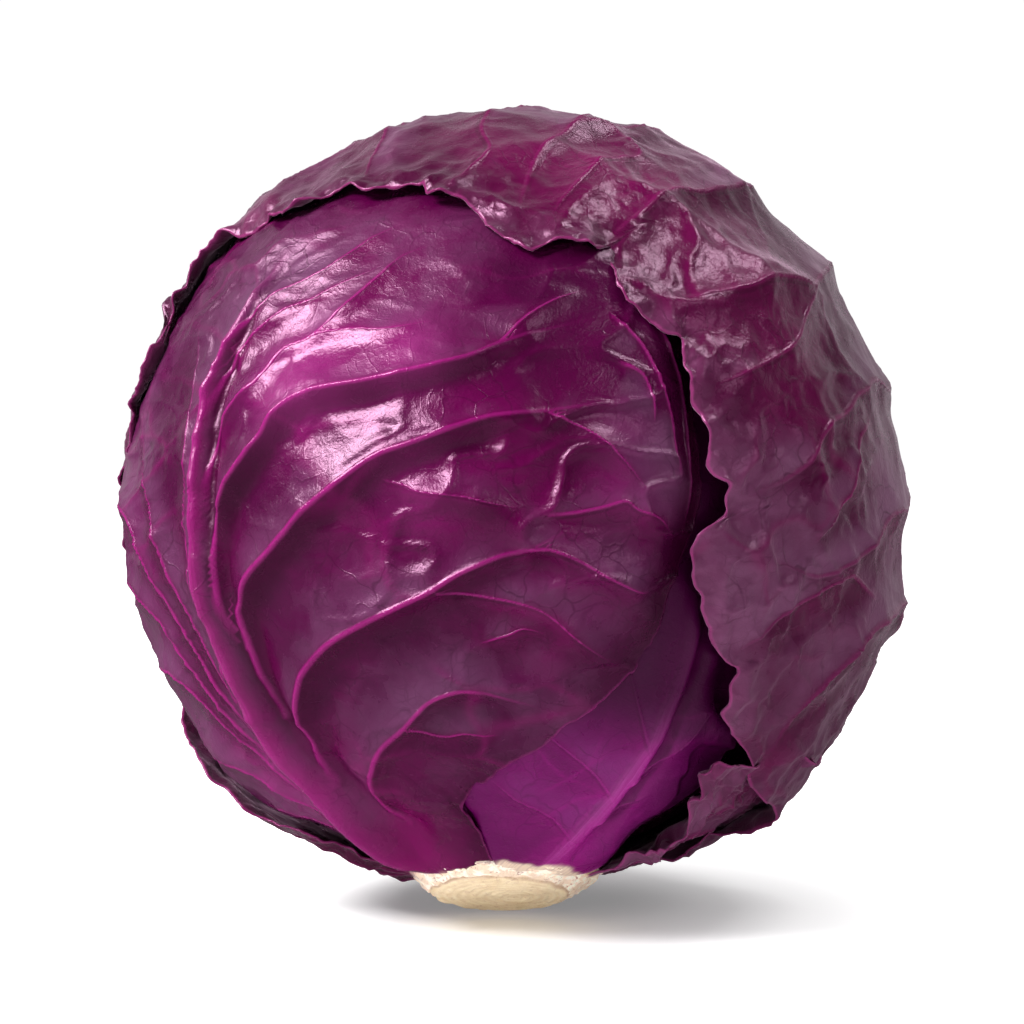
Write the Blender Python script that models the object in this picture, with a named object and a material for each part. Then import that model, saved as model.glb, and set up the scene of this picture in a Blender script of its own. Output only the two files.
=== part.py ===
"""A head of red cabbage, trimmed for sale, lying on the thick rib of its outermost leaf.

Metres, +Z up. The origin is the middle of the small flat spot that the head rests on. The
head leans back, so that its cut stalk points down and towards -Y, and its crown up and back.

A place on the head is a heading from its centre, in degrees: lon turns about the stalk's
axis, 0 at the front and 90 at the right (+X), and pol runs from 0 at the cut stalk, by 90
round the head's waist, to 180 at the crown.
"""

from math import cos, hypot, pi, radians, sin

import bmesh
import bpy
import numpy as np

# Driving dimensions, in metres and radians
WAIST_RADIUS = 0.0825
CROWN_RADIUS = 0.0855
CENTRE_HEIGHT = 0.0850
LEAN = radians(22)
BLADE_THICKNESS = 0.0009
LAYER_PITCH = 0.0024
HEART_DEPTH = 0.0104
STALK_FACE = 0.0849
STALK_RADIUS = 0.0164
STALK_TIP = 0.0210
STALK_BEVEL = 0.0008
STALK_CLEARANCE = 0.0008
RIB_HEIGHT = 0.0030
RIB_HALF_ANGLE = radians(15)

# How finely the outlines and the turned pieces are divided
OUTLINE_STEPS = 8
TURNED_STEPS = 28
HEART_RINGS = 16
HEART_OPENING = 14.0
MERGE_DISTANCE = 1e-5

# The three headings of the head's own frame
TO_STALK = np.array([0.0, -sin(LEAN), -cos(LEAN)])
TO_FRONT = np.array([0.0, -cos(LEAN), sin(LEAN)])
TO_RIGHT = np.array([1.0, 0.0, 0.0])
CENTRE = np.array([0.0, 0.0, CENTRE_HEIGHT])

# Each leaf: its middle, its outline in (lon, pol), how many layers it lies below the
# outermost one, how many cells its sheet has each way, and its colour.
LEAVES = {
    "crown_leaf": {
        "middle": (140, 130),
        "outline": [
            (-66, 99), (-64, 109), (-58, 119), (-44, 121), (-28, 122), (-13, 118),
            (-4, 111), (3, 107), (14, 110), (15, 102), (22, 94), (26, 83), (31, 74),
            (28, 65), (32, 56), (40, 50), (48, 44), (60, 41), (76, 40), (94, 37),
            (112, 30), (134, 20), (156, 13), (180, 12.6), (-170, 13), (-164, 20),
            (-162, 30), (-156, 40), (-146, 50), (-134, 60), (-120, 70), (-106, 78),
            (-90, 86), (-76, 92),
        ],
        "layer": 0, "cells": 20, "colour": (0.125, 0.052, 0.105),
    },
    "lower_left_leaf": {
        "middle": (-126, 42),
        "outline": [
            (-98, 13), (-122, 12.6), (-146, 13), (-155, 24), (-158, 38), (-152, 54),
            (-138, 66), (-122, 70), (-108, 64), (-100, 52), (-97, 40), (-91, 31),
            (-86, 24), (-86, 17),
        ],
        "layer": 0, "cells": 10, "colour": (0.085, 0.020, 0.062),
    },
    "front_leaf": {
        "middle": (-42, 72),
        "outline": [
            (-14, 13), (-45, 12.6), (-78, 13), (-104, 22), (-116, 45), (-114, 70),
            (-104, 90), (-92, 104), (-78, 116), (-60, 127), (-38, 131), (-15, 127),
            (6, 119), (21, 106), (22, 90), (20, 78), (25, 63), (22, 53), (15, 45),
            (8, 38), (-5, 32), (-16, 25), (-13, 18),
        ],
        "layer": 1, "cells": 16, "colour": (0.150, 0.020, 0.085),
    },
    "lower_right_leaf": {
        "middle": (88, 31),
        "outline": [
            (62, 13), (95, 12.6), (126, 13), (143, 22), (136, 36), (120, 46), (100, 52),
            (80, 52), (64, 47), (54, 40), (50, 34), (51, 28), (49, 22), (50, 16),
        ],
        "layer": 1, "cells": 10, "colour": (0.110, 0.035, 0.090),
    },
    "right_leaf": {
        "middle": (20, 50),
        "outline": [
            (-10, 13), (16, 12.6), (42, 13), (43, 22), (46, 29), (42, 38), (48, 50),
            (62, 60), (66, 74), (56, 92), (34, 104), (12, 100), (-6, 88), (-18, 72),
            (-24, 54), (-25, 38), (-22, 24), (-18, 16),
        ],
        "layer": 2, "cells": 14, "colour": (0.230, 0.035, 0.190),
    },
    "inner_right_leaf": {
        "middle": (42, 76),
        "outline": [
            (2, 16), (40, 15.2), (82, 16), (104, 40), (112, 80), (100, 114), (60, 134),
            (10, 130), (-18, 110), (-26, 80), (-23, 50), (-12, 26),
        ],
        "layer": 3, "cells": 14, "colour": (0.110, 0.012, 0.062),
    },
    "inner_back_leaf": {
        "middle": (-150, 98),
        "outline": [
            (-50, 15), (-92, 13.8), (-135, 13.8), (180, 13.8), (140, 14), (120, 24),
            (120, 52), (122, 84), (112, 120), (80, 144), (20, 150), (-22, 134),
            (-38, 110), (-38, 80), (-37, 50), (-40, 28),
        ],
        "layer": 3, "cells": 18, "colour": (0.110, 0.012, 0.062),
    },
}


def heading(lon, pol):
    """The unit vector, or vectors, from the head's centre to the places at lon and pol."""
    lon = np.radians(np.asarray(lon, dtype=float))[..., None]
    pol = np.radians(np.asarray(pol, dtype=float))[..., None]
    outwards = np.cos(lon) * TO_FRONT + np.sin(lon) * TO_RIGHT
    return np.cos(pol) * TO_STALK + np.sin(pol) * outwards


def smooth(value):
    """A ramp from 0 to 1 that starts and ends level."""
    value = np.clip(value, 0.0, 1.0)
    return value * value * (3.0 - 2.0 * value)


def head_radius(ways):
    """The distance from the head's centre to its outermost layer, an ellipsoid."""
    along = ways @ TO_STALK
    across_squared = np.maximum(1.0 - along * along, 0.0)
    return 1.0 / np.sqrt(across_squared / WAIST_RADIUS**2 + along**2 / CROWN_RADIUS**2)


def leaf_axes(leaf):
    """The leaf's middle heading, then those square to it: sideways, and to the crown."""
    lon, pol = leaf["middle"]
    middle = heading(lon, pol)
    side = heading(lon + 90, 90)
    return middle, side, np.cross(middle, side)


def smooth_loop(points):
    """A closed Catmull-Rom curve through the points, OUTLINE_STEPS samples to a span."""
    before, after = np.roll(points, 1, axis=0), np.roll(points, -1, axis=0)
    beyond = np.roll(points, -2, axis=0)
    samples = []
    for step in range(OUTLINE_STEPS):
        t = step / OUTLINE_STEPS
        samples.append(0.5 * (
            2 * points
            + (after - before) * t
            + (2 * before - 5 * points + 4 * after - beyond) * t**2
            + (3 * points - before - 3 * after + beyond) * t**3
        ))
    return np.stack(samples, axis=1).reshape(-1, points.shape[1])


def leaf_reach(leaf):
    """A function from the turn about a leaf's middle to how far the blade reaches there."""
    middle, side, up = leaf_axes(leaf)
    lon, pol = np.array(leaf["outline"], dtype=float).T
    ways = heading(lon, pol)
    angle = np.arccos(ways @ middle)
    turn = np.arctan2(ways @ up, ways @ side)
    loop = smooth_loop(np.stack([angle * np.cos(turn), angle * np.sin(turn)], axis=1))
    turns = np.arctan2(loop[:, 1], loop[:, 0])
    reaches = np.hypot(loop[:, 0], loop[:, 1])
    return lambda turn: np.interp(turn, turns, reaches, period=2 * pi)


def covered(ways, leaf):
    """1 over a leaf and close round it, falling to 0 farther from its outline."""
    middle, side, up = leaf_axes(leaf)
    angle = np.arccos(np.clip(ways @ middle, -1.0, 1.0))
    turn = np.arctan2(ways @ up, ways @ side)
    return smooth((1.8 - angle / leaf_reach(leaf)(turn)) / 0.4)


def crown_leaf_rise(ways):
    """The crown leaf's thick rib beneath the head, and its lift over the leaf beside it."""
    pol = np.degrees(np.arccos(np.clip(ways @ TO_STALK, -1.0, 1.0)))
    sideways = np.arcsin(np.clip(ways @ TO_RIGHT, -1.0, 1.0))
    across = np.cos(0.5 * pi * np.minimum(np.abs(sideways) / RIB_HALF_ANGLE, 1.0)) ** 2
    rib = RIB_HEIGHT * across * smooth((75.0 - pol) / 35.0)
    lift = LAYER_PITCH * covered(ways, LEAVES["lower_left_leaf"]) * smooth((pol - 23.0) / 11.0)
    return rib + lift


def square_to_disc(x, y):
    """The point of the unit disc that a point of the square from -1 to 1 goes to."""
    if abs(x) > abs(y):
        return x * cos(0.25 * pi * y / x), x * sin(0.25 * pi * y / x)
    if y == 0:
        return 0.0, 0.0
    return y * sin(0.25 * pi * x / y), y * cos(0.25 * pi * x / y)


def leaf_points(name, discs):
    """Where the points of a leaf's outer side lie, given their places on the unit disc."""
    leaf = LEAVES[name]
    middle, side, up = leaf_axes(leaf)
    turn = np.arctan2(discs[:, 1], discs[:, 0])
    angle = np.hypot(discs[:, 0], discs[:, 1]) * leaf_reach(leaf)(turn)
    spread = np.cos(turn)[:, None] * side + np.sin(turn)[:, None] * up
    ways = np.cos(angle)[:, None] * middle + np.sin(angle)[:, None] * spread
    radius = head_radius(ways) - leaf["layer"] * LAYER_PITCH
    if name == "crown_leaf":
        radius += crown_leaf_rise(ways)
    down = np.maximum(-ways[:, 2], 1e-6)
    radius = np.minimum(radius, CENTRE_HEIGHT / down)
    points = CENTRE + radius[:, None] * ways
    resting = points[:, 2] < 1e-6
    points[resting, 2] = 0.0
    return points


def plain_material(name, colour, roughness):
    material = bpy.data.materials.new(name)
    material.use_nodes = True
    shader = material.node_tree.nodes["Principled BSDF"]
    shader.inputs["Base Color"].default_value = (*colour, 1.0)
    shader.inputs["Roughness"].default_value = roughness
    shader.inputs["Metallic"].default_value = 0.0
    return material


def add_object(name, bm, material):
    mesh = bpy.data.meshes.new(name)
    bm.to_mesh(mesh)
    bm.free()
    mesh.materials.append(material)
    mesh.shade_smooth()
    obj = bpy.data.objects.new(name, mesh)
    bpy.context.scene.collection.objects.link(obj)
    return obj


def make_leaf(name):
    """A grid bent into the leaf's outer side, and thickened inwards by one blade."""
    leaf = LEAVES[name]
    bm = bmesh.new()
    cells = leaf["cells"]
    bmesh.ops.create_grid(bm, x_segments=cells, y_segments=cells, size=1.0)
    discs = np.array([square_to_disc(vert.co.x, vert.co.y) for vert in bm.verts])
    for vert, point in zip(bm.verts, leaf_points(name, discs)):
        vert.co = point
    obj = add_object(name, bm, plain_material(name, leaf["colour"], 0.45))
    blade = obj.modifiers.new("blade", "SOLIDIFY")
    blade.thickness = BLADE_THICKNESS
    blade.offset = -1.0
    return obj


def make_turned(name, profile, material):
    """A profile of (radius, height) points turned about the head's stalk axis."""
    bm = bmesh.new()
    verts = [bm.verts.new((radius, 0.0, height)) for radius, height in profile]
    for start, end in zip(verts, verts[1:]):
        bm.edges.new((start, end))
    bmesh.ops.spin(
        bm, geom=bm.verts[:] + bm.edges[:], cent=(0, 0, 0), axis=(0, 0, 1),
        angle=2 * pi, steps=TURNED_STEPS, use_merge=True,
    )
    bmesh.ops.remove_doubles(bm, verts=bm.verts[:], dist=MERGE_DISTANCE)
    bmesh.ops.recalc_face_normals(bm, faces=bm.faces[:])
    obj = add_object(name, bm, material)
    obj.location = CENTRE
    obj.rotation_euler = (-LEAN, 0.0, 0.0)
    return obj


def stalk_radius(depth):
    """The stalk's radius at a distance from the head's centre: a stout root-like taper."""
    share = (depth - STALK_TIP) / (STALK_FACE - STALK_TIP)
    return STALK_RADIUS * sin(0.5 * pi * min(1.0, share * 1.18)) ** 0.9


def stalk_profile(clearance, depths):
    return [(stalk_radius(depth) + clearance, -depth) for depth in depths]


def make_stalk():
    """The cut stump and the pale core that runs up from it into the heart."""
    depths = np.linspace(STALK_TIP + 0.004, STALK_FACE - STALK_BEVEL, 9)
    profile = [(0.0, -STALK_TIP)] + stalk_profile(0.0, depths)
    profile += [(STALK_RADIUS - STALK_BEVEL, -STALK_FACE), (0.0, -STALK_FACE)]
    return make_turned("stalk", profile, plain_material("stalk", (0.72, 0.56, 0.36), 0.7))


def make_heart():
    """The tight inner leaves as one body, with an open recess that the core stands in."""
    profile = []
    for pol in np.linspace(180.0, HEART_OPENING, HEART_RINGS):
        radius = float(head_radius(heading(0, pol))) - HEART_DEPTH
        profile.append((radius * sin(radians(pol)), -radius * cos(radians(pol))))
    profile[0] = (0.0, profile[0][1])
    mouth = -profile[-1][1]
    depths = np.linspace(mouth, STALK_TIP + 0.004, 8)
    profile += stalk_profile(STALK_CLEARANCE, depths)
    profile.append((0.0, -(STALK_TIP - STALK_CLEARANCE)))
    assert hypot(*profile[HEART_RINGS - 1]) < hypot(STALK_RADIUS, STALK_FACE)
    return make_turned("heart", profile, plain_material("heart", (0.30, 0.10, 0.24), 0.5))


def main():
    for obj in list(bpy.data.objects):
        bpy.data.objects.remove(obj, do_unlink=True)
    for name in LEAVES:
        make_leaf(name)
    make_heart()
    make_stalk()


main()
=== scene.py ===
# %% [markdown]
# # A head of red cabbage
#
# The head is made of separate leaves that wrap each other, round a pale stalk that was cut
# when the head was picked. The CAD model holds the plain, thick shapes. This lesson makes
# the leaves as they look: thin blades with ribs, veins, creases and torn rims.
#
# First the CAD model is loaded. It is the frame that every piece below fits.

# %% Load the frame
from itertools import product
from math import cos, pi, radians, sin

import bpy
import numpy as np
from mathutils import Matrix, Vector


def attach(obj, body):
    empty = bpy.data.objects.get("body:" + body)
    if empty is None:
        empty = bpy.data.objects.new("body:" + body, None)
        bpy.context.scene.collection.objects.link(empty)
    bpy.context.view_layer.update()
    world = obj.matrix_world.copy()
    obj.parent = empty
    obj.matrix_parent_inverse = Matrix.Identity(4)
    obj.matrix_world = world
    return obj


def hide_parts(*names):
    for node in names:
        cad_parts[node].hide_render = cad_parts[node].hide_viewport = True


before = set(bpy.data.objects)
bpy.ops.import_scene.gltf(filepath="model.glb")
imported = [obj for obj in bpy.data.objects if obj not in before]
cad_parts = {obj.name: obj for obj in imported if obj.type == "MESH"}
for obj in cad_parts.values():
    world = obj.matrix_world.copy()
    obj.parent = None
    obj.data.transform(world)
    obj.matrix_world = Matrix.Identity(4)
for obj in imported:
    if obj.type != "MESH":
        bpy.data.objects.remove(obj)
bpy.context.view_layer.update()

print("nodes:", ", ".join(sorted(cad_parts)))

# %% [markdown]
# ## Headings
#
# Everything on a head of cabbage is easiest to place by its heading from the middle of the
# head. `pol` is 0 at the cut stalk, 90 round the waist and 180 at the crown. `lon` turns
# about the stalk's axis, 0 at the front and 90 at the right. A leaf is then a patch of
# headings, and its shape is how far out each of its points lies.
#
# The head leans back on its rib, so the three axes of the headings lean too.

# %% The leaning axes
MM = 0.001
WAIST = 82.5 * MM
CROWN = 85.5 * MM
LEAN = radians(22)
MIDDLE = np.array([0.0, 0.0, 85.0 * MM])

TO_STALK = np.array([0.0, -sin(LEAN), -cos(LEAN)])
TO_FRONT = np.array([0.0, -cos(LEAN), sin(LEAN)])
TO_RIGHT = np.array([1.0, 0.0, 0.0])


def heading(lon, pol):
    """Unit vectors from the middle of the head to the places at lon and pol, in degrees."""
    lon = np.radians(np.asarray(lon, dtype=float))[..., None]
    pol = np.radians(np.asarray(pol, dtype=float))[..., None]
    outwards = np.cos(lon) * TO_FRONT + np.sin(lon) * TO_RIGHT
    return np.cos(pol) * TO_STALK + np.sin(pol) * outwards


def lon_pol(ways):
    """The lon and pol, in degrees, of unit vectors."""
    pol = np.degrees(np.arccos(np.clip(ways @ TO_STALK, -1, 1)))
    return np.degrees(np.arctan2(ways @ TO_RIGHT, ways @ TO_FRONT)), pol


def head_radius(ways):
    """How far out the head's smooth outer shape lies: an ellipsoid."""
    along = ways @ TO_STALK
    across = np.maximum(1 - along**2, 0)
    return 1 / np.sqrt(across / WAIST**2 + along**2 / CROWN**2)


def smooth(value):
    """A ramp from 0 to 1 with level ends."""
    value = np.clip(value, 0, 1)
    return value * value * (3 - 2 * value)


def near(ways, lon, pol, width):
    """1 at a place on the head, and fading round it over a width in degrees."""
    angle = np.degrees(np.arccos(np.clip(ways @ heading(lon, pol), -1, 1)))
    return np.exp(-0.5 * (angle / width) ** 2)


print("head:", 2000 * WAIST, "mm across")

# %% [markdown]
# ## Noise for living surfaces
#
# No two patches of a leaf are alike, so every surface gets some noise. Blender's noise
# textures could push the points, through a Displace modifier. Numpy does it here instead,
# because the same noise then also bends outlines, and steers colours. The random number of
# a cell comes from mixing the bits of its whole-numbered place, so every run is the same.


# %% Value noise and cell noise
def scatter(cells, seed):
    """A number from 0 to 1 for each whole-numbered cell, the same on every run."""
    mixed = (
        (cells[..., 0] * 73856093) ^ (cells[..., 1] * 19349663) ^ (cells[..., 2] * 83492791)
    )
    mixed = (mixed ^ (seed * 374761393)) & 0xFFFFFFFF
    mixed = ((mixed ^ (mixed >> 16)) * 0x7FEB352D) & 0xFFFFFFFF
    mixed = ((mixed ^ (mixed >> 15)) * 0x846CA68B) & 0xFFFFFFFF
    return (mixed ^ (mixed >> 16)) / 2**32


def noise(points, size, seed=0, octaves=1):
    """Smooth noise from about -1 to 1 whose lumps are a given size across."""
    total = np.zeros(points.shape[:-1])
    for octave in range(octaves):
        scaled = points * (2**octave / size)
        base = np.floor(scaled).astype(np.int64)
        part = scaled - base
        part = part * part * (3 - 2 * part)
        for corner in product((0, 1), repeat=3):
            weight = np.prod(np.where(corner, part, 1 - part), axis=-1)
            total += weight * (2 * scatter(base + corner, seed + octave) - 1) / 2**octave
    return total


def cell_noise(points, size, seed=0):
    """The distances to the nearest and second nearest of scattered points, in sizes."""
    scaled = points / size
    base = np.floor(scaled).astype(np.int64)
    first = np.full(len(points), 9.0)
    second = first.copy()
    for corner in product((-1, 0, 1), repeat=3):
        cell = base + corner
        place = cell + np.stack([scatter(cell, seed + k) for k in range(3)], axis=-1)
        gap = np.linalg.norm(scaled - place, axis=-1)
        second = np.minimum(second, np.maximum(first, gap))
        first = np.minimum(first, gap)
    return first, second


# %% [markdown]
# ## Curves on the head
#
# Outlines and veins are drawn as a few points, in lon and pol. A Catmull-Rom curve
# runs through all of its points, so it is the natural one to draw them with. For a vein,
# each point of a leaf must know how far off the vein it is and on which side, and how far
# along it.


# %% Smooth curves, and the way to the nearest of their points
def curve_through(points, closed=False, steps=8):
    """A Catmull-Rom curve through rows of numbers."""
    points = np.asarray(points, dtype=float)
    if closed:
        points = np.vstack([points[-1:], points, points[:2]])
    else:
        points = np.vstack([2 * points[0] - points[1], points, 2 * points[-1] - points[-2]])
    before, start, end, after = points[:-3], points[1:-2], points[2:-1], points[3:]
    samples = []
    for t in np.arange(steps) / steps:
        samples.append(0.5 * (
            2 * start + (end - before) * t
            + (2 * before - 5 * start + 4 * end - after) * t**2
            + (3 * start - before - 3 * end + after) * t**3
        ))
    samples = np.stack(samples, axis=1).reshape(-1, points.shape[1])
    return samples if closed else np.vstack([samples, points[-2:-1]])


def line_on_head(points):
    """Unit vectors along a smooth line through (lon, pol) points."""
    ways = curve_through(heading(*np.transpose(points)))
    return ways / np.linalg.norm(ways, axis=1, keepdims=True)


def beside(ways, line):
    """How far each heading is off a line, in metres and with its side, and how far along
    the line it is, from 0 to 1. Past the line's ends the distance is to the end point."""
    start, step = line[:-1], np.diff(line, axis=0)
    middle = start + 0.5 * step
    nearest = np.argmax(ways @ middle.T, axis=1)
    off = ways - start[nearest]
    step = step[nearest]
    share = np.einsum("ij,ij->i", off, step) / np.einsum("ij,ij->i", step, step)
    held = np.clip(share, 0, 1)
    ends = ((nearest == 0) & (share < 0)) | ((nearest == len(start) - 1) & (share > 1))
    past = np.where(ends, np.abs(share - held), 0) * np.linalg.norm(step, axis=1)
    left = np.cross(middle[nearest], step)
    left /= np.linalg.norm(left, axis=1, keepdims=True)
    across = np.einsum("ij,ij->i", off, left)
    gap = np.copysign(np.hypot(across, past), across) * WAIST
    return gap, (nearest + held) / len(start)


# %% [markdown]
# ## A leaf's sheet
#
# A leaf is a thin blade with two sides and a rim. It could be a flat grid bent round the
# head and thickened by a Solidify modifier. Here its points are placed one by one: each
# leaf has a middle, and an outline at some distance every way round. A square grid is
# squeezed into a disc, and the disc's points go out from the middle to the outline. The
# rows lie closer together near the rim, where the leaf is thin, torn and curled.
#
# The inner side has a quarter of the points, since it hardly shows.


# %% The grid of points that fills a leaf
def disc_grid(cells):
    """Square grid points squeezed into the unit disc: distance out, and turn."""
    line = np.linspace(-1, 1, cells + 1)
    x, y = np.meshgrid(line, line)
    wide = np.abs(x) > np.abs(y)
    out = np.where(wide, x, y)
    other = np.where(wide, y, x)
    lean = 0.25 * pi * other / np.where(out == 0, 1, out)
    turn = np.where(wide, lean, 0.5 * pi - lean)
    turn = np.where(out < 0, turn + pi, turn)
    return np.abs(out).ravel(), turn.ravel()


def sheet_faces(cells):
    """The faces of a leaf's two sides, and of the rim that joins them."""
    def side(count, first, flip):
        index = first + np.arange((count + 1) ** 2).reshape(count + 1, count + 1)
        ring = [index[:-1, :-1], index[:-1, 1:], index[1:, 1:], index[1:, :-1]]
        quads = np.stack(ring, axis=-1).reshape(-1, 4)
        return index, (quads[:, ::-1] if flip else quads)

    def round_edge(index):
        return np.concatenate([index[0, :-1], index[:-1, -1], index[-1, :0:-1],
                               index[:0:-1, 0]])

    outer, outer_faces = side(cells, 0, False)
    inner, inner_faces = side(cells // 2, (cells + 1) ** 2, True)
    rim, under = round_edge(outer), round_edge(inner)
    beyond, after = np.roll(rim, -2)[::2], np.roll(under, -1)
    walls = np.stack([beyond, rim[1::2], rim[::2], under, after], axis=-1)
    return outer_faces.tolist() + inner_faces.tolist() + walls.tolist()


# %% [markdown]
# Each leaf keeps what is worked out at its points: the heading, the distance to the rim, and
# the height over the head's smooth shape. It also keeps marks, which are numbers that the
# finish reads later, such as how much wax a place has. A mark could be painted by hand as
# a texture. Worked out with the shape, it always fits the veins and the rim.


# %% A leaf
class Leaf:
    """A leaf's middle and outline, and what is worked out over its grid of points."""

    def __init__(self, middle, outline, cells, torn, crowd=0.45):
        self.middle = heading(*middle)
        self.side = heading(middle[0] + 90, 90)
        self.up = np.cross(self.middle, self.side)
        self.cells = cells
        ways = heading(*np.transpose(outline))
        angle = np.arccos(ways @ self.middle)
        turn = np.arctan2(ways @ self.up, ways @ self.side)
        flat = np.stack([angle * np.cos(turn), angle * np.sin(turn)], axis=1)
        loop = curve_through(flat, closed=True)
        turns = np.unwrap(np.arctan2(loop[:, 1], loop[:, 0]))
        loop = loop if turns[-1] > turns[0] else loop[::-1]
        turns = np.unwrap(np.arctan2(loop[:, 1], loop[:, 0]))
        onward = turns >= np.maximum.accumulate(turns)
        self.turns = turns[onward]
        self.reaches = np.hypot(loop[onward, 0], loop[onward, 1])
        out, turn = disc_grid(cells)
        reach = self.reach(turn)
        rim = self.ways_at(reach, turn) * WAIST
        reach = reach + torn * (
            noise(rim, 11 * MM, 5, 2) + 0.45 * noise(rim, 3.2 * MM, 7)
            + 0.30 * noise(rim, 1.5 * MM, 8)
        ) / WAIST
        # Rows far from the rim follow a smoother outline, or its notches would reach inwards.
        sways = np.radians(np.linspace(-16, 16, 33))
        weights = 1 + np.cos(sways * pi / sways[-1])
        even = sum(w * self.reach(turn + sway) for w, sway in zip(weights, sways))
        even = even / weights.sum()
        angle = even * (out * (1 + crowd) - crowd * out**2)
        angle += (reach - even) * smooth((out - 0.68) / 0.32)
        self.ways = self.ways_at(angle, turn)
        # The rim seldom runs square to the way out, which shortens the distance to it.
        slope = (self.reach(turn + 0.02) - self.reach(turn - 0.02)) / 0.04
        slant = slope / np.maximum(np.sin(reach), 0.2)
        self.edge = (reach - angle) * WAIST / np.sqrt(1 + slant**2)
        self.spots = self.ways * WAIST
        self.height = np.zeros(len(out))
        self.marks = {}

    def reach(self, turn):
        return np.interp(turn, self.turns, self.reaches, period=2 * pi)

    def inside(self, ways):
        """How far headings lie inside the outline, in metres; outside it is below 0."""
        turn = np.arctan2(ways @ self.up, ways @ self.side)
        return (self.reach(turn) - np.arccos(np.clip(ways @ self.middle, -1, 1))) * WAIST

    def ways_at(self, angle, turn):
        spread = np.cos(turn)[:, None] * self.side + np.sin(turn)[:, None] * self.up
        return np.cos(angle)[:, None] * self.middle + np.sin(angle)[:, None] * spread

    def mark(self, name, value):
        """Adds to a named mark, which the leaf's material reads at each point."""
        self.marks[name] = self.marks.get(name, 0) + value

    def patches(self, name, *spots):
        """Adds soft round patches to a mark, each an amount, a lon, a pol and a width."""
        for amount, *spot in spots:
            self.mark(name, amount * near(self.ways, *spot))


# %% From points to an object
BLADE = 0.9 * MM


def new_piece(name, points, faces, material):
    """An object with a mesh of its own."""
    mesh = bpy.data.meshes.new(name)
    mesh.from_pydata(points, [], faces)
    mesh.materials.append(material)
    piece = bpy.data.objects.new(name, mesh)
    bpy.context.scene.collection.objects.link(piece)
    return piece


def set_mark(piece, name, values):
    layer = piece.data.attributes.new(name, "FLOAT", "POINT")
    layer.data.foreach_set("value", np.asarray(values, dtype=np.float32))


def build_leaf(name, leaf, material):
    """The leaf as a closed mesh that carries its marks."""
    cells = leaf.cells
    radius = head_radius(leaf.ways) + leaf.height
    down = np.maximum(-leaf.ways[:, 2], 1e-6)
    radius = np.minimum(radius, MIDDLE[2] / down)
    outer = MIDDLE + radius[:, None] * leaf.ways
    every = np.arange((cells + 1) ** 2).reshape(cells + 1, cells + 1)[::2, ::2].ravel()
    # The inner side is coarser, so it keeps below the lowest point around each of its own.
    low = np.pad(radius.reshape(cells + 1, cells + 1), 2, mode="edge")
    low = np.min([low[k:k + cells + 1] for k in range(5)], axis=0)
    low = np.min([low[:, k:k + cells + 1] for k in range(5)], axis=0).ravel()
    deep = smooth(leaf.edge[every] / (4 * MM))
    under = radius[every] + deep * (low[every] - radius[every])
    thin = BLADE * (0.45 + 0.55 * smooth(leaf.edge[every] / (6 * MM)))
    inner = MIDDLE + (under - thin)[:, None] * leaf.ways[every]
    piece = new_piece(name, np.vstack([outer, inner]), sheet_faces(cells), material)
    piece.data.shade_smooth()
    for key, values in leaf.marks.items():
        set_mark(piece, key, np.concatenate([values, values[every]]))
    set_mark(piece, "edge", np.concatenate([leaf.edge, leaf.edge[every]]) / MM)
    return piece


# %% [markdown]
# ## Veins
#
# On the outside of a cabbage leaf the veins stand proud. The blade doesn't meet a vein at
# the same height on its two sides: it comes down to it in a long slope on one side, and
# falls away steeply on the other, like roof tiles. That is most of what makes the leaf look
# stiff and pleated, so each vein here is a small rounded ridge on the crest of such a step.
# A vein that leaves a thicker one rises slowly, or its step would start with a cliff.
#
# A vein could be a thin tube laid on the leaf, but that would leave a seam along it. Raising
# the leaf's own points gives one skin, and marks for the vein's colours come with it.


# %% Veins that raise a leaf
def add_vein(leaf, points, width=0.9, height=0.5, step=1.0, reach=12, drop=2.4, lee=1,
             start=0.12):
    """Raises one vein, root first. Sizes are in millimetres.

    The step slopes down over reach on one side, and falls over drop on the other. Lee is 1
    or -1 and swaps the sides, and start is the share of the vein on which the step rises."""
    gap, along = beside(leaf.ways, line_on_head(points))
    gap = gap / MM * lee
    fade = smooth((1 - along) / 0.3)
    wide = 0.8 * width * (1 - 0.5 * np.clip(along, 0, 1))
    ridge = np.maximum(1 - (gap / wide) ** 2, 0) ** 1.1
    slope = np.where(
        gap > 0, np.maximum(1 - gap / reach, 0) ** 1.5, np.exp(-((gap / drop) ** 2)))
    root = smooth(along / 0.12)
    leaf.height += MM * fade * (
        height * wide / width * ridge + step * smooth(along / start) * slope)
    leaf.mark("flush", 0.3 * fade * np.exp(-np.abs(gap) / (wide + 0.7)))
    # Painted shade: a dark band at the foot of the vein's steep side.
    leaf.mark("deep", 0.30 * step * fade * root * np.exp(-(((gap + wide + 1.6) / 2.4) ** 2)))
    # The strongest vein near a point gives its strength and side, which the material draws.
    strength = fade * (0.3 + 0.7 * root) * np.exp(-((gap / (1.6 * wide)) ** 2))
    # More wax on the long side, which mostly faces up to the lamps: partly a painted highlight.
    leaf.mark("slope", 0.5 * fade * root * np.exp(-((gap / 8) ** 2)) * np.clip(gap, -1, 1))
    ahead = strength > leaf.marks.get("vein", 1e-6)
    for key, value in (("side", gap / wide), ("vein", strength)):
        leaf.marks[key] = np.where(ahead, value, leaf.marks.get(key, 9.0 * (key == "side")))


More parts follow.
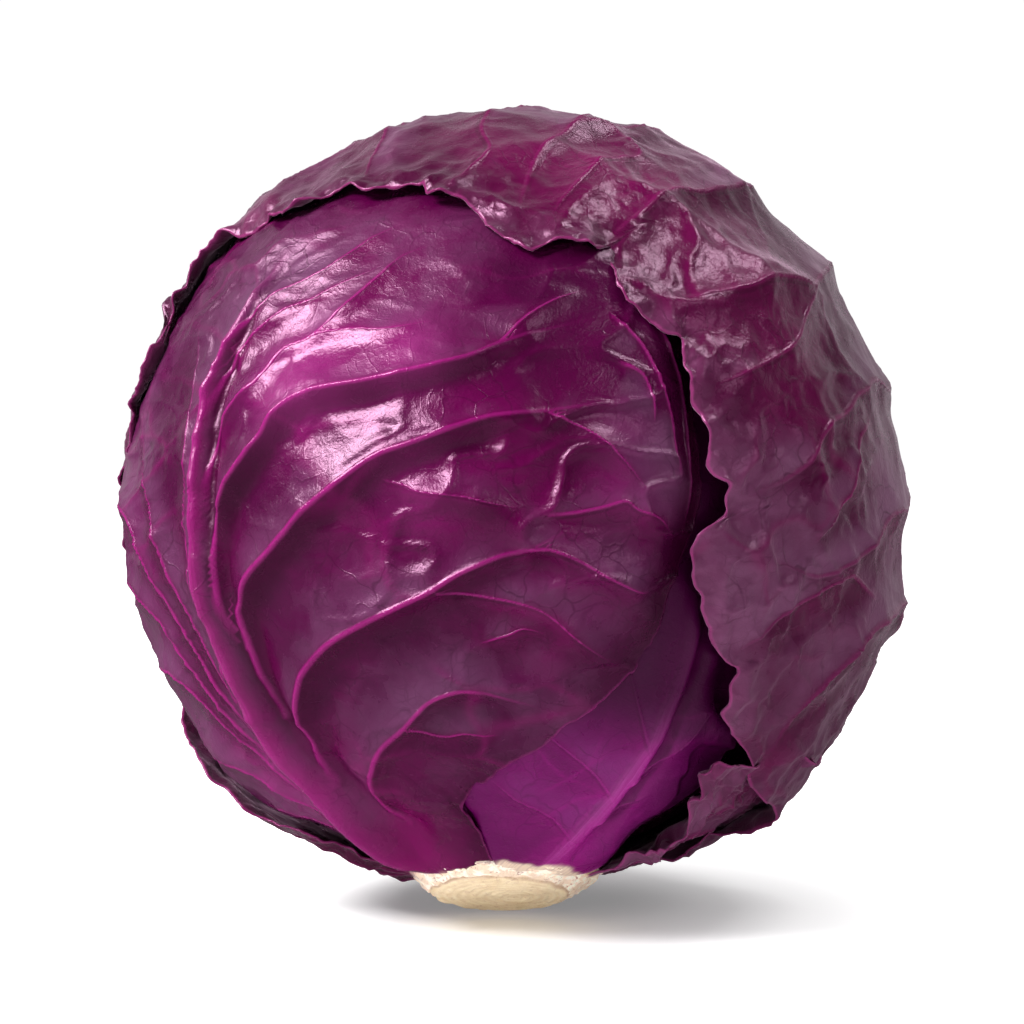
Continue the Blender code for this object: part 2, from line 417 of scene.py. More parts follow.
# %% The rib
def add_rib(leaf, points, base, tip, height, valley=0.0, shoulder=0.0):
    """A thick rib, round on top, with a valley on its right and a shoulder on its left."""
    gap, along = beside(leaf.ways, line_on_head(points))
    gap = gap / MM
    wide = base + (tip - base) * np.clip(along, 0, 1) ** 0.8
    end = smooth((1 - along) / 0.2)
    size = (wide / base) ** 0.8 * end
    leaf.height += MM * size * (
        height * np.maximum(1 - (gap / wide) ** 2, 0) ** 0.75
        + shoulder * np.where(gap > 0, np.exp(-gap / 6), np.exp(-((gap / wide) ** 2)))
        - valley * np.exp(-(((-gap - 1.9 * wide) / (1.2 * wide)) ** 2))
    )
    leaf.mark("rib", end * np.exp(-((gap / (0.85 * wide)) ** 4)))
    leaf.mark("flush", end * np.exp(-(((gap + 0.6 * wide) / (2.2 * wide)) ** 2)))
    # Painted shade in the valley on the rib's right.
    leaf.mark("deep", 1.3 * end * smooth((along - 0.12) / 0.2)
              * np.exp(-(((gap + 1.7 * wide) / (0.85 * wide)) ** 4)))
    leaf.marks["across"] = np.clip(gap, -30, 30)


# %% [markdown]
# Between the veins the blade is crumpled: it grew faster than the room it had. Broad soft
# waves come first, then facets like shallow bowls that meet in ridges, then creases and
# fine wrinkles. A torn rim also waves up and down, more than the blade inside.
#
# A cloth simulation could crumple a sheet, but not where the real leaf has its creases, so
# noise does it, in amounts that each leaf sets.


# %% Waves, facets, wrinkles and rims
def crumple(leaf, waves, facets, wrinkles, seed, size=13.0, pull=(1, 1, 1), ridges=0.0,
            creases=0.0, still=0.0):
    """Adds waves, facets and finer folds, with heights and sizes in millimetres."""
    spots = leaf.spots * np.asarray(pull)
    bent = spots + 2.6 * MM * np.stack(
        [noise(spots, 11 * MM, seed + k, 2) for k in (11, 12, 13)], axis=-1)
    calm = smooth(noise(leaf.spots, 30 * MM, seed + 9) * 1.5 + 0.75) * (1 - still)
    leaf.height += MM * waves * noise(leaf.spots, 26 * MM, seed + 1, 2)
    first, second = cell_noise(bent, size * MM, seed + 2)
    leaf.height += MM * facets * calm * (np.minimum(first, 0.8) ** 1.6 - 0.35)
    leaf.height += MM * ridges * calm * np.exp(-(second - first) / 0.14)
    fold = np.exp(-(((second - first) / 0.05) ** 2)) * calm
    leaf.mark("fold", fold * smooth(noise(leaf.spots, 12 * MM, seed + 3) * 1.6 + 0.4))
    first, second = cell_noise(bent, 0.42 * size * MM, seed + 4)
    leaf.height += MM * 0.28 * facets * (np.minimum(first, 0.8) ** 1.5 - 0.3)
    crease = 1 - np.abs(noise(bent, 9 * MM, seed + 6, 2))
    leaf.height += MM * creases * (1 - still) * (crease**5 - 0.3)
    drawn = 1 - np.abs(noise(bent, 3.6 * MM, seed + 5, 2))
    leaf.height += MM * wrinkles * calm * (drawn**3 - 0.4)


def ruffle(leaf, height, size, depth, seed):
    """Waves the rim up and down; the waves fade over a depth from it."""
    fade = np.exp(-np.maximum(leaf.edge, 0) / (depth * MM))
    leaf.height += MM * height * fade * (
        noise(leaf.spots, size * MM, seed, 1) + 0.4 * noise(leaf.spots, 0.4 * size * MM, seed + 1))


# %% Leaves that go under others, and the cut at the stump
def tuck(leaf, over, depth, ease=7.0, before=0.15):
    """Flattens a leaf, and sinks it to a depth, where it goes under another leaf."""
    share = smooth(over.inside(leaf.ways) / (ease * MM) + before)
    leaf.height += share * (-depth * MM + 0.25 * leaf.height - leaf.height)


def cut_base(leaf):
    """Settles a leaf where it meets the stump, and marks the pale tissue it was cut through."""
    lon, pol = lon_pol(leaf.ways)
    leaf.height += (1 - smooth((pol - 12) / 10)) * (-0.6 * MM - leaf.height)
    leaf.height -= MM * 4.0 * smooth((46 - pol) / 20) * smooth((np.abs(lon) - 56) / 40)
    ragged = 1.3 * noise(leaf.spots, 5 * MM, 3, 2) + 0.8 * noise(leaf.spots, 1.6 * MM, 4)
    leaf.mark("cut", smooth((13.2 - pol + 0.8 * ragged) / 1.2))


# %% [markdown]
# ## Shader maths as Python
#
# The finishes below are sums of many small effects. Written as expressions they stay
# readable, so one small class wraps a node's socket, and its operators add Math nodes.


# %% A socket that can be added and multiplied
class Value:
    """A socket of a node tree; arithmetic on it adds Math nodes."""

    tree = None

    def __init__(self, socket):
        self.socket = socket

    @classmethod
    def node(cls, kind, settings=None, out=0, **inputs):
        """Adds any node: its type, its settings, then what goes in its sockets."""
        node = cls.tree.nodes.new(kind)
        for key, value in (settings or {}).items():
            setattr(node, key, value)
        for key, value in inputs.items():
            name = int(key[1:]) if key[0] == "_" else key.replace("_", " ")
            cls.put(node.inputs[name], value)
        return cls(node.outputs[out])

    @classmethod
    def put(cls, socket, value):
        if isinstance(value, Value):
            cls.tree.links.new(value.socket, socket)
        elif socket.type == "RGBA":
            socket.default_value = (*value[:3], 1)
        else:
            socket.default_value = value

    def maths(self, operation, *others, flip=False):
        terms = (*others, self) if flip else (self, *others)
        return Value.node("ShaderNodeMath", {"operation": operation},
                          **{f"_{i}": term for i, term in enumerate(terms)})

    def __add__(self, other):
        return self.maths("ADD", other)

    def __radd__(self, other):
        return self.maths("ADD", other, flip=True)

    def __sub__(self, other):
        return self.maths("SUBTRACT", other)

    def __rsub__(self, other):
        return self.maths("SUBTRACT", other, flip=True)

    def __mul__(self, other):
        return self.maths("MULTIPLY", other)

    def __rmul__(self, other):
        return self.maths("MULTIPLY", other, flip=True)

    def __truediv__(self, other):
        return self.maths("DIVIDE", other)

    def clamped(self):
        return self.maths("MAXIMUM", 0.0).maths("MINIMUM", 1.0)

    def ramp(self, low, high):
        """A smooth step from 0 at low to 1 at high."""
        return Value.node("ShaderNodeMapRange", {"interpolation_type": "SMOOTHSTEP"},
                          Value=self, From_Min=low, From_Max=high)


# %% Colours, marks and textures
def mix(under, over, share):
    """Blends two colours."""
    return Value.node("ShaderNodeMix", {"data_type": "RGBA"}, out=2,
                      _0=share, _6=under, _7=over)


def mark(name):
    """A mark that a mesh carries at each point."""
    return Value.node("ShaderNodeAttribute", {"attribute_name": name}, out=2)


def vector(operation, first, second):
    return Value.node("ShaderNodeVectorMath", {"operation": operation}, _0=first, _1=second)


def here():
    """The place of a point in its object."""
    return Value.node("ShaderNodeTexCoord", out=3)


def grain(scale, detail=2.0, rough=0.5, warp=0.0):
    """Noise about 0.5 in object space; scale counts lumps to a metre."""
    return Value.node("ShaderNodeTexNoise", Vector=here(), Scale=scale,
                      Detail=detail, Roughness=rough, Distortion=warp)


def net(scale, where, thin):
    """Thin lines between scattered cells: 1 on a line, 0 off it."""
    gap = Value.node("ShaderNodeTexVoronoi", {"feature": "DISTANCE_TO_EDGE"},
                     Vector=where, Scale=scale)
    return 1 - gap.ramp(0.0, thin)


def new_material(name):
    """An empty material whose tree is open for nodes, and its Principled shader."""
    material = bpy.data.materials.new(name)
    material.use_nodes = True
    Value.tree = material.node_tree
    return material, material.node_tree.nodes["Principled BSDF"]


def darker(colour, share):
    return tuple(share * part for part in colour)


# %% [markdown]
# ## The leaves' finish
#
# A red cabbage leaf is dark purple in the blade and clear magenta where the tissue is
# thick: along ribs and veins. Wax lies over it as a pale, matt bloom that rubs off in
# patches, so the same leaf is grey-lilac in one place and wine red in the next. The rim is
# thin and bloodless, a pale pink line. All of these are masks over a few plain colours.
#
# The marks say where. `vein` and `side` draw a clear line on a vein's crest and, at its
# foot, a dark line of painted shade. `slope` puts more wax on its long side, which mostly
# faces up to the lamps, than on its steep one, so it is partly a painted highlight. `rib` and
# `across` give the rib its long pale fibres. `flush` is thick, clear tissue, `deep` and
# `shade` are painted shade in folds, valleys and gaps, and `cut` shows the cream inside.
#
# The surface has a satin gloss, broken up by a fine vein net and a leathery grain. Those
# are far smaller than the mesh's faces, so they are bump, and the mesh has all the rest.
# The gloss is tinted, since wax over purple doesn't shine pure white. The outermost leaves
# have some sheen too, for the dust of wax that pales them where they are seen at a slant.

# %% The leaf material
CREAM = (0.76, 0.60, 0.46)


def leaf_material(name, blade, flush, bloom, pale, cover, gloss, drawn=1.0, rimmed=0.6,
                  dusty=0.0):
    """Blade and flush are tissue, bloom is wax and how much it covers, pale is for ribs, veins
    and rims, and for painted highlights.

    Drawn and rimmed say how clearly the veins and the rim show in the colour, and dusty
    how much sheen the wax has."""
    material, shader = new_material(name)
    place = here()
    swirl = Value.node("ShaderNodeTexNoise", out=1, Vector=place, Scale=90.0, Detail=2.0)
    warped = vector("ADD", place, vector("MULTIPLY", swirl, (0.010, 0.010, 0.010)))
    broad = grain(42, 3, 0.55, 0.6)
    patchy = grain(150, 4, 0.6, 0.5)
    fine = grain(850, 4, 0.62)
    lines = net(150, warped, 0.045) * broad.ramp(0.40, 0.62)
    hairs = net(420, warped, 0.09) * patchy.ramp(0.42, 0.66)
    fibre = Value.node("ShaderNodeTexNoise", Scale=1.0, Detail=3.0, Vector=Value.node(
        "ShaderNodeCombineXYZ", X=mark("across") * 2.2, Y=broad * 2.0))
    side = mark("side")
    vein = mark("vein").clamped() * (1 - side * side).clamped()
    # Lee: a dark line at the foot of a vein's steep side, painted shade.
    lee = (side + 1.9) / 1.2
    lee = mark("vein").ramp(0.02, 0.25) * (1 - lee * lee).clamped()
    rib = mark("rib").clamped()
    fold = mark("fold").clamped()

    wax = mark("wax") + (broad - 0.5) * 1.5 + (patchy - 0.5) * 0.9
    # The slope mark lays more wax on each vein's long side, which mostly faces up to the lamps:
    # partly a painted highlight.
    wax = wax + mark("slope") * 1.1 + cover
    wax = wax.clamped() * (1 - 0.7 * vein) * (1 - 0.8 * rib)
    blush = (mark("flush") + (broad - 0.47) * 1.0).clamped()
    colour = mix(blade, flush, blush)
    colour = mix(colour, bloom, wax)
    net_lines = lines * (0.30 + 0.25 * wax) + hairs * 0.22
    colour = mix(colour, darker(blade, 0.5), net_lines * (1 - rib))
    # Painted shade: the deep mark and the lee line darken folds, valleys, gaps and vein feet.
    folds = mark("deep") * (1 - rib) + lee * 0.45
    colour = mix(colour, darker(flush, 0.22), folds.clamped() * 0.9)
    colour = mix(colour, flush, (vein * 0.8 * drawn + fold * 0.35).clamped())
    colour = mix(colour, pale, vein * 0.3 * drawn)
    fibres = mark("across").ramp(-2.2, 2.6) * (0.2 + 1.1 * fibre.ramp(0.40, 0.75))
    colour = mix(colour, pale, (rib * fibres).clamped())
    colour = mix(colour, pale, mark("pale").clamped())
    rim = 1 - (mark("edge") + (fine - 0.5) * 0.5).ramp(0.15, 0.7)
    colour = mix(colour, pale, rim * rimmed)
    # Painted shade where a leaf lies in a dark gap or under another leaf's margin.
    colour = mix(colour, darker(flush, 0.12), mark("shade").clamped())
    colour = mix(colour, CREAM, (mark("cut") * (0.8 + 0.4 * fibre.ramp(0.4, 0.6))).clamped())
    Value.put(shader.inputs["Base Color"], colour)
    Value.put(shader.inputs["Roughness"],
              (gloss + 0.10 * wax + 0.22 * (patchy - 0.5)).clamped())
    shader.inputs["Specular IOR Level"].default_value = 0.5
    shader.inputs["Specular Tint"].default_value = (1.0, 0.50, 0.80, 1)
    shader.inputs["Sheen Weight"].default_value = dusty
    shader.inputs["Sheen Roughness"].default_value = 0.35
    shader.inputs["Sheen Tint"].default_value = (1.0, 0.62, 0.85, 1)

    leather = grain(1900, 3, 0.6)
    bumps = (0.5 * lines + 0.3 * hairs + 1.6 * fine + 0.6 * leather + 0.8 * fibre * rib
             + 2.0 * vein)
    Value.put(shader.inputs["Normal"], Value.node(
        "ShaderNodeBump", Height=bumps, Strength=0.8, Distance=0.09 * MM))
    return material


waxy = leaf_material("waxy_leaf", (0.045, 0.0005, 0.020), (0.14, 0.0005, 0.058),
                     (0.125, 0.040, 0.092), (0.34, 0.03, 0.18), 0.24, 0.27, 0.35, 0.4, 0.22)
wine = leaf_material("wine_leaf", (0.045, 0.0005, 0.024), (0.16, 0.0005, 0.076),
                     (0.090, 0.022, 0.068), (0.38, 0.022, 0.22), 0.0, 0.26, 1.0, 0.2)
bright = leaf_material("bright_leaf", (0.11, 0.0007, 0.074), (0.25, 0.0012, 0.155),
                       (0.16, 0.010, 0.125), (0.40, 0.06, 0.30), -0.15, 0.30, 0.4)
print("finishes:", ", ".join(material.name for material in (waxy, wine, bright)))


# %% Putting a leaf in its place
def place_leaf(leaf, name, node, material):
    """Builds a leaf, and puts it in the CAD node's stead."""
    cut_base(leaf)
    for key in ("wax", "pale", "shade", "across", "rib"):
        leaf.mark(key, 0 * leaf.edge)
    piece = build_leaf(name, leaf, material)
    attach(piece, "root")
    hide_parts(node)
    print(name, len(piece.data.polygons), "faces")


# %% [markdown]
# ## The crown leaf
#
# The outermost leaf wraps the right side, the crown and the back. Its rib lies under the
# head and up the back, so its veins come over the crown and end at the rim in front. It
# has the most wax, the flattest facets, and a torn rim that stands off the leaf below.
#
# Its outline could be cut out of a sphere with a knife. Drawn as points it does more: the
# leaves below ask it how far under it they lie, and tuck themselves in. A vein is its
# points from the root, then its half width, height, step and reach in millimetres.

# %% Crown leaf: outline, rib and veins
crown = Leaf(
    (140, 118),
    [
        (-66, 99), (-62, 104), (-64, 108.5), (-62.5, 112), (-61, 116), (-60, 119.5),
        (-55, 121), (-50, 120.5), (-44, 121.5), (-37, 119), (-32, 121.5), (-28.5, 122.7),
        (-24, 120.5), (-20, 120.3), (-14.5, 120), (-13, 117.5), (-8.7, 116.5), (-5, 114.2),
        (-3.9, 111), (-1, 109), (2.3, 106.8), (5.5, 107.8), (8, 108), (12, 107.5),
        (14.5, 109.8), (14.2, 105.5), (15, 100.6), (17.2, 98), (20.5, 95.3), (23, 94.5),
        (23, 92), (24.5, 87.3), (26.2, 83), (28, 79.5), (28.4, 77), (31.3, 74.4),
        (31.2, 71), (28.8, 69.4), (27, 66.5), (27.3, 63), (30.5, 59.3), (32.5, 56.2),
        (37, 52.6), (40.5, 51.6), (41, 48.5), (43.5, 45), (48, 43.2), (55, 41.8),
        (63, 38.8), (75, 37.5), (84, 38.5), (95, 38), (112, 30), (134, 20), (156, 13),
        (180, 12), (-170, 13), (-164, 20), (-162, 30), (-156, 40), (-146, 50), (-134, 60),
        (-120, 70), (-106, 78), (-90, 86), (-76, 92),
    ],
    cells=280, torn=1.1 * MM, crowd=0.5,
)
CROWN_RIB = [(180, 12), (180, 30), (178, 50), (176, 72), (174, 95), (172, 118), (168, 140),
             (150, 160)]
CROWN_RIGHT_VEINS = [
    ([(168, 140), (150, 162), (60, 166), (22, 147), (12, 136), (5, 128), (2, 120), (0, 108)],
     1.2, 0.6, 1.0, 10),
    ([(172, 120), (140, 142), (80, 152), (48, 146), (33, 143), (20, 139), (12, 136),
      (6, 132)], 1.2, 0.6, 1.5, 12),
    ([(20, 139), (24, 131), (19, 128), (15, 126), (11, 121), (7, 115.5), (5, 111)],
     0.9, 0.45, 0.8, 8),
    ([(174, 104), (140, 130), (95, 141), (64, 137), (46, 129.5), (34, 124), (26, 121),
      (20, 115.5), (16, 112), (13, 109)], 1.2, 0.6, 1.6, 12),
    ([(174, 90), (146, 112), (110, 126), (80, 126), (60, 117), (51, 110.5), (45, 109),
      (39, 107), (34, 104), (28, 102), (24, 101), (18, 106)], 1.2, 0.6, 1.8, 12),
    ([(176, 72), (148, 92), (118, 108), (92, 114), (78, 104), (66, 101), (60, 97),
      (57, 95), (53, 91), (49, 88.5), (47, 86), (44, 81), (41, 78), (37, 75.5), (32, 71.5)],
     1.3, 0.6, 1.8, 10),
    ([(178, 56), (152, 72), (126, 86), (104, 94), (90, 93), (82, 87), (71, 82), (64, 75),
      (57, 70), (51, 67), (44, 67), (36, 68)], 1.1, 0.5, 1.3, 10),
    ([(179, 36), (150, 50), (126, 62), (104, 72), (90, 75), (82, 71.5), (74, 67),
      (69, 63), (66, 58), (63, 53), (63, 48), (64, 43.5), (61, 39)], 1.6, 1.0, 2.4, 9),
    ([(69, 69), (60, 69.5), (54, 66), (48, 61.5), (43, 57), (38, 52)], 0.8, 0.4, 0.9, 8),
    ([(51, 110), (47, 105), (42, 98), (37, 94), (31, 90), (27, 88)], 0.8, 0.4, 1.4, 11),
    ([(62, 93), (58, 89), (55, 81), (52, 77), (50, 73), (48, 70)], 0.8, 0.4, 1.1, 8),
]
CROWN_LEFT_VEINS = [
    ([(168, 140), (175, 160), (-90, 166), (-36, 152), (-27, 138), (-26, 128), (-25, 122)],
     1.0, 0.5, 0.8, 9),
    ([(150, 160), (60, 168), (0, 152), (-6, 136), (-4, 128), (-8, 121), (-11, 116)],
     1.0, 0.5, 0.8, 9),
    ([(172, 122), (-160, 148), (-100, 154), (-60, 142), (-48, 124)], 1.0, 0.5, 0.9, 9),
    ([(174, 100), (-160, 122), (-120, 134), (-85, 124), (-66, 110)], 1.0, 0.5, 0.9, 9),
    ([(176, 78), (-158, 98), (-130, 106), (-104, 100), (-84, 93)], 1.0, 0.5, 0.9, 9),
    ([(178, 56), (-158, 72), (-136, 80), (-118, 78), (-108, 76)], 1.0, 0.5, 0.9, 9),
]

# %% [markdown]
# The head rests on a keel along this leaf's rib. At the right the crumples give way to long
# pleats. In front the rim flares away from the leaf below, most of all at the far left,
# and one lobe stands off at the lower right.

# %% Crown leaf: shape
lon, pol = lon_pol(crown.ways)
off_rib = np.abs(np.arcsin(crown.ways[:, 0]))
keel = np.cos(0.5 * pi * np.minimum(off_rib / radians(15), 1)) ** 2
crown.height += MM * 3.0 * keel * smooth((75 - pol) / 35) * (np.abs(lon) > 90)
crown.height -= MM * 0.6
add_rib(crown, CROWN_RIB, 5.0, 1.2, 1.6)
for points, width, height, step, reach in CROWN_RIGHT_VEINS:
    add_vein(crown, points, width, height, 0.95 * step, reach, drop=4, lee=-1)
for points, width, height, step, reach in CROWN_LEFT_VEINS:
    add_vein(crown, points, width, height, 0.8 * step, reach, drop=4)
turned = smooth((lon - 50) / 22) * smooth((pol - 60) / 15)
crumple(crown, 1.2, 2.6, 0.22, seed=40, size=20, ridges=0.5,
        creases=0.25 + 0.9 * near(crown.ways, 46, 66, 16), still=0.55 * turned)
flare = np.exp(-crown.edge / (6 * MM)) * smooth((pol - 88) / 14) * smooth((14 - lon) / 10)
crown.height += MM * (0.9 - 0.3 * smooth((-30 - lon) / 15)) * flare * smooth((lon + 110) / 20)
crown.height += MM * 1.9 * flare * smooth((-50 - lon) / 6) * smooth((lon + 74) / 4)
lobe = np.exp(-crown.edge / (9 * MM)) * smooth((lon - 62) / 14) * smooth((112 - lon) / 12)
crown.height += MM * 3.2 * lobe * (pol < 70)
near_rim = np.exp(-np.maximum(crown.edge, 0) / ((10 + 6 * (pol < 92)) * MM))
near_rim = near_rim * smooth((pol - 30) / 20)
crown.height += MM * 2.0 * near_rim * (cell_noise(crown.spots, 5.5 * MM, 50)[0] - 0.5)
ruffle(crown, 1.6, 7, 5, seed=48)
ruffle(crown, 0.9, 3.5, 2.5, seed=49)

# %% Crown leaf: wax
crown.mark("wax", 0.5 * near_rim * smooth((lon - 12) / 10))
crown.mark("pale", 0.07 * near_rim * smooth((lon - 12) / 10))
# In some fields between the veins the wax is rubbed off, and the wine-red blade shows.
for spot in (
    (36, 103, 10), (43, 111, 7), (28, 114, 6), (46, 92, 6), (-2, 130, 7), (20, 126, 6),
):
    crown.patches("wax", (-1.2, *spot))
    crown.patches("flush", (0.25, *spot))
crown.patches("wax", (0.15, 40, 62, 14), (-0.5, 10, 122, 6), (-0.35, 62, 50, 7))
crown.patches("flush", (0.4, 10, 123, 8))
place_leaf(crown, "crown_leaf_blade", "crown_leaf", waxy)

# %% [markdown]
# ## The short outer leaves at the bottom
#
# Trimming leaves a few stubs of older leaves at the bottom, torn and dark, that stand off
# the head on both sides of the stump. They are the most crumpled of all. They could be
# sculpted by hand. As leaves of the same kind, they only need more crumple and ruffle.

# %% Lower leaves
lower_right = Leaf(
    (88, 31),
    [
        (62, 11.5), (95, 11.6), (126, 12), (143, 22), (136, 36), (120, 46), (104, 50),
        (92, 50), (80, 46), (72, 42), (62, 40.5), (54, 39.5), (48, 38.6), (47, 36.6),
        (50.5, 34), (51, 32), (55, 29.5), (56.5, 26), (54, 24), (54, 21), (55, 18), (56, 15),
    ],
    cells=170, torn=1.0 * MM,
)
lower_right.height += MM * (-2.6 + 2.6 * smooth((75 - lon_pol(lower_right.ways)[0]) / 20)
                            + 1.5 * np.exp(-lower_right.edge / (4 * MM)))
for points in (
    [(92, 12), (86, 24), (80, 32), (72, 40)], [(86, 14), (74, 24), (66, 31), (58, 36)],
    [(98, 12), (104, 26), (106, 42)], [(72, 13), (64, 20), (58, 27)],
):
    add_vein(lower_right, points, 1.1, 0.6, 1.3, 6)
crumple(lower_right, 1.0, 2.2, 0.15, seed=80, size=8, ridges=1.0)
ruffle(lower_right, 2.4, 4.5, 8, seed=88)
lower_right.mark("wax", 0.3)
lower_right.mark("pale", 0.10)
place_leaf(lower_right, "lower_right_leaf_blade", "lower_right_leaf", waxy)

lower_left = Leaf(
    (-126, 42),
    [
        (-82, 13), (-122, 11.6), (-146, 12), (-155, 24), (-158, 38), (-152, 54),
        (-138, 66), (-122, 70), (-108, 64), (-101, 52), (-99, 44), (-99, 38), (-96, 32),
        (-96, 27), (-97, 22), (-92, 17),
    ],
    cells=170, torn=1.0 * MM,
)
lower_left.height += MM * (-0.4 + 1.6 * np.exp(-lower_left.edge / (5 * MM)))
for points in (
    [(-118, 12), (-112, 26), (-108, 40), (-106, 54)], [(-120, 12), (-130, 30), (-134, 52)],
    [(-112, 16), (-104, 26), (-100, 34)],
):
    add_vein(lower_left, points, 1.1, 0.6, 1.0, 6)
crumple(lower_left, 0.9, 1.5, 0.15, seed=90, size=9)
ruffle(lower_left, 1.0, 6, 5, seed=98)
place_leaf(lower_left, "lower_left_leaf_blade", "lower_left_leaf", waxy)

# %% [markdown]
# ## The front leaf
#
# This is the leaf that faces the viewer. Its thick rib climbs the left side from the stump,
# and its side veins leave it at a slant and bow over to the right, each one the crest of a
# long pleat. On the rib's left the veins hug it for a while before they leave it.
#
# The pleats could come from a height map and a Displace modifier. As lists of points the
# veins stay easy to edit, and one list gives the ridge, its step and its colours.

# %% Front leaf: outline, rib and veins
front = Leaf(
    (-42, 72),
    [
        (-12.5, 11), (-32, 11.3), (-50, 12.4), (-72, 14.6), (-92, 16.5), (-104, 24),
        (-116, 45), (-114, 70), (-104, 90), (-92, 104), (-78, 116), (-60, 127), (-38, 131),
        (-15, 127), (6, 119), (20, 108), (24.5, 98), (26, 91), (27, 84), (28, 78), (29, 73),
        (28, 67), (27.5, 63), (26.5, 59), (26, 54.5), (24.5, 50), (21.5, 46), (17, 42.5),
        (10.5, 38.5), (6.5, 35.5), (-1, 32.5), (-7, 29.5), (-12, 28), (-16.5, 25),
        (-14.5, 21), (-12.5, 16),
    ],
    cells=280, torn=0.55 * MM,
)
FRONT_RIB = [(-70, 11), (-64, 15), (-59, 20), (-56.5, 28), (-56, 35), (-56, 42), (-55, 48),
             (-53, 55), (-52, 61), (-51, 68), (-49.5, 76), (-48, 85), (-46, 93), (-42, 101),
             (-38, 109), (-34, 116)]
FRONT_RIGHT_VEINS = [
    ([(-45, 95), (-41, 101), (-36, 105), (-30, 107), (-26, 109), (-22, 112), (-16, 115)],
     0.6, 0.3, 0.35, 8),
    ([(-47, 88), (-44, 94), (-41, 98), (-37, 100), (-33, 102), (-29, 103), (-23, 105),
      (-18, 107)], 0.6, 0.3, 0.35, 8),
    ([(-48, 76), (-47, 81), (-44.5, 86), (-41, 89), (-37, 91), (-33, 95), (-29, 96),
      (-25, 99), (-22, 102), (-19, 105), (-16, 108), (-10, 110)], 0.8, 0.45, 0.7, 9),
    ([(-30, 96), (-27, 96.3), (-22, 96), (-17, 95), (-10, 96)], 0.5, 0.2, 0.6, 8),
    ([(-50, 56), (-49.5, 63), (-48, 70), (-46, 74), (-44, 77), (-40, 80), (-36, 83),
      (-32, 86), (-27, 87), (-19, 87.2), (-12, 88), (-6, 89.5), (-2, 91.8), (5, 94.5),
      (13, 97)], 1.1, 0.6, 2.6, 16),
    ([(-51, 45), (-50, 52), (-48, 60), (-46, 62.5), (-43, 65), (-38, 67.3), (-34, 69.3),
      (-31, 71.2), (-25, 74), (-19, 77), (-13, 78.5), (-8, 80), (-3, 81.5), (3, 82.3),
      (10, 83.5), (16, 84.5)], 1.2, 0.65, 2.3, 15),
    ([(-51.5, 33), (-50.5, 37), (-48, 40), (-46.5, 44), (-44, 46.8), (-40, 50), (-35, 52.4),
      (-30, 54.2), (-22, 56.2), (-13, 58.8), (-8, 61), (-2, 63), (2, 63.8), (6, 65.5),
      (10, 68)], 1.2, 0.65, 2.0, 15),
    ([(1, 63.6), (5, 64), (9, 63), (14, 61), (19, 59.5), (23, 59)], 0.6, 0.3, 1.6, 8),
    ([(-46, 21), (-45, 26), (-41, 30), (-39, 32), (-36, 34), (-31, 37), (-24, 39.5),
      (-17, 43), (-11, 44.5), (-6, 44.3), (1, 42.5), (8, 41)], 1.0, 0.5, 1.4, 12),
    ([(-12, 58.5), (-4, 57.5), (4, 56), (11, 52), (18, 49)], 0.5, 0.25, 1.4, 8),
    ([(4, 82.6), (10, 80), (15, 76.5), (20, 72)], 0.5, 0.25, 1.7, 8),
    ([(-24, 39.5), (-16, 37.5), (-9, 38), (-2, 37)], 0.5, 0.25, 0.6, 6),
    ([(5, 68.5), (9, 69), (13, 70), (16, 71), (18, 70), (22, 69), (25, 66)], 0.6, 0.3, 1.1, 7),
    ([(-18, 74), (-15, 73), (-13, 72), (-7, 71), (-3, 70), (3, 69)], 0.4, 0.15, 1.3, 6),
    ([(-5, 51), (-1, 52), (2, 53), (6, 52)], 0.4, 0.15, 0.8, 5),
    ([(-2, 91.8), (3, 97), (10, 101)], 0.5, 0.25, 0.8, 7),
]
FRONT_LEFT_VEINS = [
    ([(-76, 14), (-69, 22), (-62, 30), (-60, 37), (-59, 43), (-58, 49), (-56.5, 55),
      (-55.5, 62), (-54, 70), (-52.5, 79), (-51, 90), (-52, 101), (-55, 111)],
     0.7, 0.5, 0.5, 5),
    ([(-58.5, 48), (-59.5, 57), (-59.8, 66), (-61, 73), (-62, 80), (-64, 88), (-67, 98)],
     0.7, 0.4, 0.8, 7),
    ([(-61, 45), (-62, 53), (-62.5, 60), (-64, 68), (-66.5, 76), (-70, 82), (-77, 85.5),
      (-86, 87)], 0.8, 0.5, 1.2, 8),
    ([(-63, 39), (-64, 47), (-65, 54), (-67, 60), (-69, 66), (-73, 71), (-78, 75), (-85, 79)],
     0.8, 0.5, 1.2, 8),
    ([(-64, 33), (-65.5, 41), (-67, 48), (-69.5, 54), (-75, 59), (-82, 62), (-90, 64)],
     0.8, 0.5, 1.2, 8),
    ([(-66, 24), (-67.5, 30), (-70, 35), (-73, 40), (-78, 44), (-85, 48), (-94, 52)],
     0.8, 0.5, 1.2, 8),
    ([(-74, 18), (-75, 25), (-80, 31), (-88, 36), (-98, 40)], 0.7, 0.4, 0.9, 7),
]

# %% [markdown]
# The blade is sunk a little, and bulges at the left and at the top left. Along its right
# margin three short wrinkles run beside each other, and the margin rolls down into the dark
# gap. At the stump the margin is torn.

